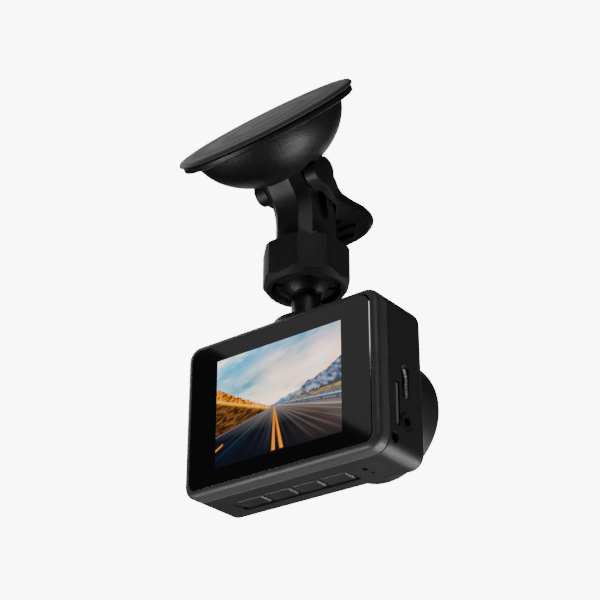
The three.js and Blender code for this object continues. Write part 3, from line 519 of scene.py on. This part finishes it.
def meadow_color(u, v, color):
    """Straw-coloured ground on the right, up to the foot of the wood."""
    top = horizon + 0.004 + max(0.0, u - 0.52) * 0.07
    if u > 0.49 and v < top:
        straw = cloudiness(u * 18, v * 70)
        color = blend((0.12, 0.09, 0.07), (0.36, 0.27, 0.19), 0.5 + 0.8 * straw)
    return color


def asphalt_color(u, v, depth, streak):
    """The road: pale far off, dark near, streaked by speed, with its orange lines."""
    near = blend((0.010, 0.016, 0.034), (0.024, 0.022, 0.026), u + 0.2)
    color = blend((0.34, 0.31, 0.29), near, 0.2 + 1.3 * depth**0.6)
    sheen = max(0.0, streak + 0.1) * (1.0 - depth)
    tone = blend((0.10, 0.17, 0.22), (0.52, 0.44, 0.40), 1.6 * u - 0.3)
    color = blend(color, tone, 0.85 * sheen)
    color = blend(color, (0.40, 0.33, 0.30), 0.75 * max(0.0, u - 0.55) * (1.25 - depth))
    if v > 0.015:
        for line in (-0.006, 0.062):
            away = abs(u - vanish_u - line * depth)
            color = blend(color, line_orange, (0.003 + 0.0115 * depth - away) / 0.006 + 0.5)
    if u < 0.06:
        away = abs(v - 0.155 - 0.72 * u)
        color = blend(color, line_orange, (0.008 - away) / 0.006 + 0.5)
    return color


def road_color(u, v, color):
    """The road and the white line and verge on each side of it."""
    if v >= horizon:
        return color
    depth = (horizon - v) / horizon
    left = vanish_u - 0.008 - depth * road_spread_left
    right = vanish_u + 0.008 + depth * road_spread_right
    streak = cloudiness((u - vanish_u) / (0.02 + depth) * 15, 5.0, 3)
    if left < u < right:
        return asphalt_color(u, v, depth, streak)
    if u >= vanish_u:
        color = blend((0.24, 0.22, 0.22), (0.10, 0.10, 0.11), 0.5 + streak)
        verge = (0.012 - abs(u - right - 0.012)) / 0.008 + 0.5
        return blend(color, (0.32, 0.32, 0.34), verge)
    if u > left - 0.02 - 0.03 * depth:
        verge = (0.007 - abs(u - left + 0.007)) / 0.005 + 0.5
        color = blend((0.03, 0.02, 0.015), (0.28, 0.28, 0.29), verge)
    return color


def rail_color(u, v, color):
    """The guard rail on the right and its posts."""
    run = max(0.0, u - 0.55)
    above = v - (horizon + 0.002 - run * 0.14)
    thick = 0.004 + 0.02 * run
    if u > 0.55 and abs(above) < thick:
        color = blend((0.08, 0.10, 0.13), (0.34, 0.40, 0.48), 0.5 + above / thick)
    elif u > 0.6 and -thick * 3.2 < above < -thick and (u * 34 / (0.4 + u)) % 1 < 0.16:
        color = (0.10, 0.10, 0.11)
    return color


def picture(u, v):
    """The picture's colour at u from the left and v from the bottom, both 0 to 1."""
    ridge = horizon + 0.02 + max(0.0, u - 0.50) * 0.49 + 0.03 * cloudiness(u * 11, 1.3)
    color = sky_color(u, v)
    color = mountain_color(u, v, ridge, color)
    color = slope_color(u, v, color)
    color = meadow_color(u, v, color)
    color = road_color(u, v, color)
    color = rail_color(u, v, color)
    glow = math.exp(-((u - 0.58) ** 2 / 0.03 + (v - horizon - 0.06) ** 2 / 0.004))
    color = blend(color, (1.0, 0.86, 0.70), (0.55 if v > ridge else 0.12) * glow)
    grey = sum(color) / 3
    return tuple(max(0.0, grey + (channel - grey) * 1.35) ** 1.6 for channel in color)


columns = 220
rows = 165
picture_width = 40.8
picture_height = 30.6
picture_left = -20.485
picture_bottom = -15.52
picture_depth = 0.0002
picture_mesh = bmesh.new()
tint = picture_mesh.verts.layers.float_color.new("picture")
grid = []
for j in range(rows + 1):
    line = []
    for i in range(columns + 1):
        u, v = i / columns, j / rows
        spot = Vector((picture_left + u * picture_width, 0.0, picture_bottom + v * picture_height))
        point = picture_mesh.verts.new(model @ spot)
        point[tint] = (*picture(u, v), 1.0)
        line.append(point)
    grid.append(line)
for j in range(rows):
    for i in range(columns):
        picture_mesh.faces.new((grid[j][i], grid[j][i + 1], grid[j + 1][i + 1], grid[j + 1][i]))
rim = grid[0][:] + [line[-1] for line in grid[1:]] + grid[-1][-2::-1]
rim += [line[0] for line in grid[-2:0:-1]]
back = []
for point in rim:
    deep = picture_mesh.verts.new(point.co + Vector((0, picture_depth, 0)))
    deep[tint] = (0, 0, 0, 1)
    back.append(deep)
for i in range(len(rim)):
    j = (i + 1) % len(rim)
    picture_mesh.faces.new((rim[j], rim[i], back[i], back[j]))
picture_mesh.faces.new(back)
slab = bmesh.new()
slab.from_mesh(glass.data)
unlit = slab.verts.layers.float_color.new("picture")
for point in slab.verts:
    point[unlit] = (0, 0, 0, 1)
slab.to_mesh(glass.data)
slab.free()
picture_piece = keep("picture", picture_mesh)
joined = bmesh.new()
joined.from_mesh(glass.data)
joined.from_mesh(picture_piece.data)
joined.to_mesh(glass.data)
joined.free()
bpy.data.objects.remove(picture_piece)
glass.data.shade_flat()
screen = finish("screen", (0.004, 0.004, 0.0045), 0.04, 2000, 0.0, 0.0, coat=1.0)
shader = screen.node_tree.nodes["Principled BSDF"]
lit = screen.node_tree.nodes.new("ShaderNodeAttribute")
lit.attribute_name = "picture"
screen.node_tree.links.new(lit.outputs["Color"], shader.inputs["Emission Color"])
shader.inputs["Emission Strength"].default_value = 2.6
place(glass, screen, "camera_body", "screen_gloss", "screen_glass")

# Lens: the shroud with its stepped mouth, pushed into the shell; the barrel in it; the bulging
# front glass; and the ring that holds it. The two inner lenses stay as the CAD drew them.
lens_axis = Matrix.Translation((lens_x, 0, 0)) @ Matrix.Rotation(math.radians(-90), 4, "X")


def lathe(name, outline, place, steps=96):
    """Turns a closed (radius, height) outline about an axis."""
    work = bmesh.new()
    whole = model @ place
    rings = []
    for radius, height in outline:
        if radius < 1e-6:
            rings.append([work.verts.new(whole @ Vector((0, 0, height)))] * steps)
            continue
        angles = (2 * math.pi * i / steps for i in range(steps))
        spots = (Vector((radius * math.cos(a), radius * math.sin(a), height)) for a in angles)
        rings.append([work.verts.new(whole @ spot) for spot in spots])
    pairs = list(zip(rings, rings[1:]))
    if outline[0][0] > 1e-6 and outline[-1][0] > 1e-6:
        pairs.append((rings[-1], rings[0]))
    for low, high in pairs:
        for i in range(steps):
            j = (i + 1) % steps
            corners = list(dict.fromkeys((low[i], low[j], high[j], high[i])))
            if len(corners) > 2:
                work.faces.new(corners)
    return keep(name, work)


shroud = lathe(
    "lens_shroud_skin",
    [
        (12.3, 18.9),
        (13.6, 18.9),
        (13.6, 20.7),
        (16.8, 20.7),
        (17.0, 20.9),
        (17.0, 32.2),
        (16.93, 32.55),
        (16.75, 32.83),
        (16.5, 32.97),
        (16.2, 33.0),
        (15.6, 33.0),
        (15.3, 32.9),
        (14.4, 32.2),
        (14.4, 31.9),
        (13.6, 31.5),
        (13.6, 31.2),
        (12.8, 30.8),
        (12.3, 30.8),
    ],
    lens_axis,
    128,
)
soften(shroud, smooth=25)
place(shroud, shell_paint, "camera_body", "shell_black", "lens_shroud")
barrel = lathe(
    "lens_barrel_skin",
    [
        (4.9, 12.6),
        (6.1, 12.6),
        (6.1, 22.0),
        (11.7, 22.0),
        (11.9, 22.2),
        (11.9, 30.0),
        (10.5, 30.0),
        (10.5, 26.7),
        (4.9, 26.7),
    ],
    lens_axis,
)
soften(barrel, smooth=25)
lens_tube = finish("lens_tube", (0.008, 0.008, 0.009), 0.35, 5200, 0.1)
place(barrel, lens_tube, "camera_body", "nylon_black", "lens_barrel")
ring = lathe(
    "lens_ring_skin",
    [(9.5, 30.2), (11.9, 30.2), (11.9, 30.8), (11.7, 31.0), (10.1, 31.0), (9.5, 30.5)],
    lens_axis,
)
soften(ring, smooth=25)
place(ring, frame_paint, "camera_body", "frame_grey", "lens_retaining_ring")
bulge = 3.0
glass_radius = 10.3
glass_rear = 26.9
glass_top = 31.6
glass_steps = 16
sphere = (glass_radius**2 + bulge**2) / (2 * bulge)
reach = math.asin(glass_radius / sphere)
front = [(0, glass_rear), (glass_radius, glass_rear)]
for step in range(glass_steps + 1):
    angle = reach * (1 - step / glass_steps)
    front.append((sphere * math.sin(angle), glass_top - sphere * (1 - math.cos(angle))))
front[-1] = (0, glass_top)
front_lens = soften(lathe("front_lens_skin", front, lens_axis), smooth=30)
coated = finish("coated_glass", (0.42, 0.5, 0.72), 0.02, 900, 0.0, 0.0, coat=1.0)
coated.node_tree.nodes["Principled BSDF"].inputs["Transmission Weight"].default_value = 0.9
place(front_lens, coated, "camera_body", "lens_glass", "front_lens")

# Buttons: four bevelled caps moulded in the shell's black, each held by a flange behind the wall
# and pressing its switch with a small nub. A step is a width, a depth, a corner and a height.
cap_steps = (
    (6.9, 3.7, 0.3, -21.86),
    (7.15, 3.95, 0.35, -21.9),
    (7.5, 4.3, 0.4, -21.86),
    (7.9, 4.7, 0.5, -21.7),
    (8.2, 5.0, 0.6, -21.4),
    (8.2, 5.0, 0.6, -20.0),
    (8.2, 6.6, 0.6, -20.0),
    (8.2, 6.6, 0.6, -19.2),
    (1.8, 1.8, 0.59, -19.2),
    (1.8, 1.8, 0.59, -18.9),
)
for number, x in enumerate(button_xs, 1):
    cap_rings = [(rounded(w, d, corner, x, mount_y), z) for w, d, corner, z in cap_steps]
    cap = soften(loft("button_%d_skin" % number, "xy", cap_rings), smooth=30)
    place(cap, shell_paint, "button_%d_body" % number, "shell_black", "button_%d" % number)

# Ball stud: the foot on the camera's top, the stem with its thin ring, and the ball, turned in
# one piece of black nylon and held in the shell by a clip. The friction liner wraps the ball.
mount_axis = Matrix.Translation((0, mount_y, 0))
ball_radius = 6.5
ball_z = 38.5
ball_steps = 24
liner_radius = 7.3
liner_bore = 6.65
liner_steps = 14


def arc(radius, start, sweep, steps):
    """Points round the ball's middle as (radius, height), from a start angle in degrees."""
    angles = [math.radians(start + sweep * i / steps) for i in range(steps + 1)]
    return [(radius * math.cos(a), ball_z + radius * math.sin(a)) for a in angles]


stud = [
    (0, 16.5),
    (3.2, 16.5),
    (3.2, 16.9),
    (2.5, 16.9),
    (2.5, 19.3),
    (3.2, 19.3),
    (3.2, 22.3),
    (9.0, 22.3),
    (9.3, 22.5),
    (9.3, 24.0),
    (9.1, 24.45),
    (8.6, 24.7),
    (5.6, 24.9),
    (4.7, 25.2),
    (4.25, 25.7),
    (4.1, 26.4),
    (4.1, 32.86),
    (4.4, 33.06),
    (4.4, 33.26),
]
stud += arc(ball_radius, -50.8, 140.8, ball_steps)
stud[-1] = (0, ball_z + ball_radius)
ball_stud = soften(lathe("ball_stud_skin", stud, mount_axis), smooth=28)
nylon = finish("nylon", (0.012, 0.012, 0.013), 0.46, 2600, 0.4)
place(ball_stud, nylon, "ball_head", "nylon_black", "ball_stud")
liner_wall = arc(liner_radius, 7.87, 64.13, liner_steps) + arc(liner_bore, 72, -63.35, liner_steps)
liner = soften(lathe("ball_liner_skin", liner_wall, mount_axis), smooth=28)
white_film = finish("white_film", (0.75, 0.75, 0.74), 0.5, 1500, 0.08)
place(liner, white_film, "friction_liner", "film_white", "ball_liner")

# Clamp nut: a black nylon nut with eight flats and cut corners, drawn in to a cone at the mouth
# and bored for the ball's collar, which it squeezes. Its edges are softened.
across_flats = 23.1
corner_cut = 0.864
nut_low = 35.1
nut_high = 46.85
flat = across_flats / 2
half_flat = flat * math.tan(math.pi / 8) - corner_cut
corner_points = []
for face in range(8):
    turn = face * math.pi / 4
    for along in (-half_flat, half_flat):
        corner_points.append(
            (
                flat * math.cos(turn) - along * math.sin(turn),
                mount_y + flat * math.sin(turn) + along * math.cos(turn),
            )
        )
nut = loft("clamp_nut_skin", "xy", [(corner_points, nut_low), (corner_points, nut_high)])
cone_outline = [
    (0, nut_low),
    (10.7, nut_low),
    (13.502, 38.88),
    (13.502, 46.05),
    (11.9, nut_high),
    (0, nut_high),
]
carve(nut, [lathe("cone", cone_outline, mount_axis)], "INTERSECT")
bore_outline = [(0, 34), (9.9, 34), (9.2, 35.8), (9.2, 48), (0, 48)]
carve(nut, [lathe("bore", bore_outline, mount_axis)])
soften(nut, 0.35, limit=20, smooth=30, segments=3)
nut_nylon = finish("nut_nylon", (0.012, 0.012, 0.013), 0.62, 2600, 0.5)
place(nut, nut_nylon, "clamp_nut_body", "nylon_black", "clamp_nut")

# Arm and lever: the chamfered arm with its slotted socket, screwed to the housing, and the cam
# lever with its gripping ribs, on its pin. Both take their CAD shape, with the edges softened.


def copied(node):
    """A fresh piece with the shape of a CAD node, in the model's frame."""
    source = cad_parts[node]
    mesh = source.data.copy()
    mesh.transform(source.matrix_world)
    mesh.materials.clear()
    made = bpy.data.objects.new(node + "_skin", mesh)
    bpy.context.collection.objects.link(made)
    return made


arm = soften(copied("arm"), 0.3, limit=28, smooth=30)
place(arm, shell_paint, "suction_mount", "shell_black", "arm")
lever = soften(copied("lever"), 0.25, limit=35, smooth=32)
place(lever, nylon, "lock_lever", "nylon_black", "lever")

# Suction housing: a moulded half-ellipsoid dome with a flange that presses on the pad. It is
# hollow for the pull rod, with pockets for the arm, the two cam ears and the two screws.
suction_tilt = math.radians(46.9)
suction_place = Matrix.Translation((0, suction_y, suction_z))
suction_axis = suction_place @ Matrix.Rotation(suction_tilt, 4, "X")
dome_radius = 22.6
dome_rise = 17.7
dome_wall = 2
dome_steps = 32
cave_steps = 12


def dome(wall, start, sweep, steps):
    """Points on the dome, a wall's thickness in from its outside."""
    angles = [math.radians(start + sweep * i / steps) for i in range(steps + 1)]
    wide = dome_radius - wall
    rise = dome_rise - wall
    return [(wide * math.cos(a), -rise * math.sin(a)) for a in angles]


outside = dome(0, 10.74, 79.26, dome_steps)
outside[-1] = (0, -dome_rise)
inside = dome(dome_wall, 41.97, -35.97, cave_steps)
housing = lathe(
    "suction_housing_skin",
    [(0, -10.5)]
    + inside
    + [
        (20.6, -1.6),
        (25.8, -1.6),
        (26.0, -1.8),
        (26.0, -2.8),
        (25.88, -3.05),
        (25.6, -3.2),
        (22.9, -3.25),
    ]
    + outside,
    suction_axis,
    144,
)
ear_x = 8.65
screw_spread = 6
pockets = [slot_cut("xy", 13.4, 17.0, 0.3, 0, 0, -30, -15.0, suction_axis)]
for x in (ear_x, -ear_x):
    pockets.append(slot_cut("xy", 4.9, 12.6, 0.3, x, 0, -30, -14.7, suction_axis))
pockets.append(slot_cut("xy", 6.2, 6.2, 3.09, 0, 0, -20, -5, suction_axis))
for y in (screw_spread, -screw_spread):
    pockets.append(slot_cut("xy", 1.9, 1.9, 0.94, 0, y, -20, -5, suction_axis))
for y in (screw_spread, -screw_spread):
    pockets.append(slot_cut("xy", 4, 4, 1.99, 0, y, -12.5, -5, suction_axis))
carve(housing, pockets)
soften(housing, smooth=28)
dome_paint = finish("dome_paint", (0.006, 0.006, 0.0065), 0.42, 2600, 0.5)
place(housing, dome_paint, "suction_mount", "shell_black", "suction_housing")

# Suction pad: a flat disc of soft gel with a rounded rim and a short pull tab, fixed to the pull
# rod's head. Faint rings show where the gel has lifted off the glass.
pad = lathe(
    "suction_pad_skin",
    [
        (0, 0),
        (25.7, 0),
        (26.2, -0.12),
        (26.55, -0.45),
        (26.7, -0.9),
        (26.6, -1.2),
        (26.4, -1.3),
        (9, -1.3),
        (9, -3.2),
        (0, -3.2),
    ],
    suction_axis,
    144,
)
tab_turn = math.radians(-17.4)
tab_reach = 24.3
tab_place = suction_axis @ Matrix.Rotation(tab_turn, 4, "Z")
tab_outline = rounded(7, 8, 2, 0, tab_reach)
tab_rings = [
    (rounded(6.6, 7.8, 1.8, 0, tab_reach), -0.3),
    (tab_outline, -0.5),
    (tab_outline, -1.3),
]
carve(pad, [loft("tab", "xy", tab_rings, place=tab_place)], "UNION")
soften(pad, smooth=30)
ring_pitch = 0.0045
ring_wobble = 0.004
gel = finish("gel", (0.05, 0.048, 0.05), 0.62, 2600, 0.12, 0.10)
nodes, links = gel.node_tree.nodes, gel.node_tree.links
where = nodes.new("ShaderNodeTexCoord")
warp = nodes.new("ShaderNodeTexNoise")
warp.inputs["Scale"].default_value = 70.0
links.new(where.outputs["Object"], warp.inputs["Vector"])
distance = nodes.new("ShaderNodeVectorMath")
distance.operation = "LENGTH"
links.new(where.outputs["Object"], distance.inputs[0])
wobble = nodes.new("ShaderNodeMath")
wobble.operation = "MULTIPLY_ADD"
wobble.inputs[1].default_value = ring_wobble
links.new(warp.outputs["Fac"], wobble.inputs[0])
links.new(distance.outputs["Value"], wobble.inputs[2])
ripple = nodes.new("ShaderNodeMath")
ripple.operation = "PINGPONG"
ripple.inputs[1].default_value = ring_pitch
links.new(wobble.outputs[0], ripple.inputs[0])
mark = nodes.new("ShaderNodeMapRange")
mark.inputs["From Max"].default_value = ring_pitch
mark.inputs["To Min"].default_value = 0.55
mark.inputs["To Max"].default_value = 0.72
links.new(ripple.outputs[0], mark.inputs["Value"])
links.new(mark.outputs["Result"], nodes["Principled BSDF"].inputs["Roughness"])
place(pad, gel, "suction_mount", "soft_black", "suction_pad")

# Small parts: rows of tiny black chips soldered to the main board's screen side, too many to be
# separate pieces.
chip_black = finish("chip_black", (0.014, 0.014, 0.016), 0.5, 2500, 0.1)
tree = bpy.data.node_groups.new("small_parts", "GeometryNodeTree")
tree.interface.new_socket("Geometry", in_out="INPUT", socket_type="NodeSocketGeometry")
sockets = {}
for title, kind, value in (
    ("Columns", "NodeSocketInt", 12),
    ("Rows", "NodeSocketInt", 6),
    ("Width", "NodeSocketFloat", 0.024),
    ("Height", "NodeSocketFloat", 0.011),
    ("Material", "NodeSocketMaterial", None),
):
    sockets[title] = tree.interface.new_socket(title, in_out="INPUT", socket_type=kind)
    if value is not None:
        sockets[title].default_value = value
tree.interface.new_socket("Geometry", in_out="OUTPUT", socket_type="NodeSocketGeometry")
nodes, links = tree.nodes, tree.links
given = nodes.new("NodeGroupInput")
result = nodes.new("NodeGroupOutput")
lattice = nodes.new("GeometryNodeMeshGrid")
links.new(given.outputs["Width"], lattice.inputs["Size X"])
links.new(given.outputs["Height"], lattice.inputs["Size Y"])
links.new(given.outputs["Columns"], lattice.inputs["Vertices X"])
links.new(given.outputs["Rows"], lattice.inputs["Vertices Y"])
block = nodes.new("GeometryNodeMeshCube")
block.inputs["Size"].default_value = (0.001, 0.0005, 0.0004)
copies = nodes.new("GeometryNodeInstanceOnPoints")
links.new(lattice.outputs["Mesh"], copies.inputs["Points"])
links.new(block.outputs["Mesh"], copies.inputs["Instance"])
real = nodes.new("GeometryNodeRealizeInstances")
links.new(copies.outputs["Instances"], real.inputs["Geometry"])
painted = nodes.new("GeometryNodeSetMaterial")
links.new(real.outputs["Geometry"], painted.inputs["Geometry"])
links.new(given.outputs["Material"], painted.inputs["Material"])
links.new(painted.outputs["Geometry"], result.inputs["Geometry"])
small_parts = bpy.data.objects.new("small_parts", bpy.data.meshes.new("small_parts"))
bpy.context.collection.objects.link(small_parts)
step = small_parts.modifiers.new("rows", "NODES")
step.node_group = tree
step[sockets["Material"].identifier] = chip_black
settle(small_parts)
board_side = Matrix.Translation((-3, 5.75, 2)) @ Matrix.Rotation(math.radians(90), 4, "X")
small_parts.data.transform(model @ board_side @ Matrix.Scale(1000, 4))
place(small_parts, chip_black, "camera_body", "chip_black")

# Everything else keeps its CAD shape and takes a finish: boards, chips, sockets, switches,
# screws, the pull rod, the pin and the inner lenses.
board_green = finish("board_green", (0.01, 0.07, 0.035), 0.45, 900, 0.15)
black_steel = finish("black_steel", (0.03, 0.03, 0.032), 0.3, 1600, 0.06, 0.0, metal=1.0)
card_grey = finish("card_grey", (0.16, 0.16, 0.165), 0.35, 2500, 0.05, 0.0)
blue_sleeve = finish("blue_sleeve", (0.015, 0.04, 0.16), 0.3, 1200, 0.05)
panel_grey = finish("panel_grey", (0.2, 0.23, 0.26), 0.15, 1200, 0.02)
bright_steel = finish("bright_steel", (0.62, 0.62, 0.64), 0.28, 1600, 0.06, 0.0, metal=1.0)
plain = {
    board_green: ("main_board", "sensor_board", "port_board", "button_board"),
    chip_black: (
        "processor",
        "memory_chip",
        "motion_sensor",
        "image_sensor",
        "speaker",
        "board_connector",
    ),
    nylon: ("video_jack", "lens_holder"),
    black_steel: ("side_screw_1", "side_screw_2"),
    card_grey: ("microsd_card",),
    white_film: ("backlight",),
    panel_grey: ("lcd_panel",),
    blue_sleeve: ("supercapacitor_1", "supercapacitor_2"),
    coated: ("middle_lens", "rear_lens"),
    bright_steel: (
        "heat_spreader",
        "usb_c_socket",
        "microsd_socket",
        "microphone",
        "reset_switch",
        "swivel_washer",
        "retaining_clip",
        "pull_post",
        "lever_pin",
        *("tact_switch_%d" % i for i in range(1, 5)),
        *("arm_screw_%d" % i for i in range(1, 3)),
        *("board_screw_%d" % i for i in range(1, 4)),
        *("lens_screw_%d" % i for i in range(1, 4)),
    ),
}
for material, names in plain.items():
    for name in names:
        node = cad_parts[name]
        node.data.materials.clear()
        node.data.materials.append(material)
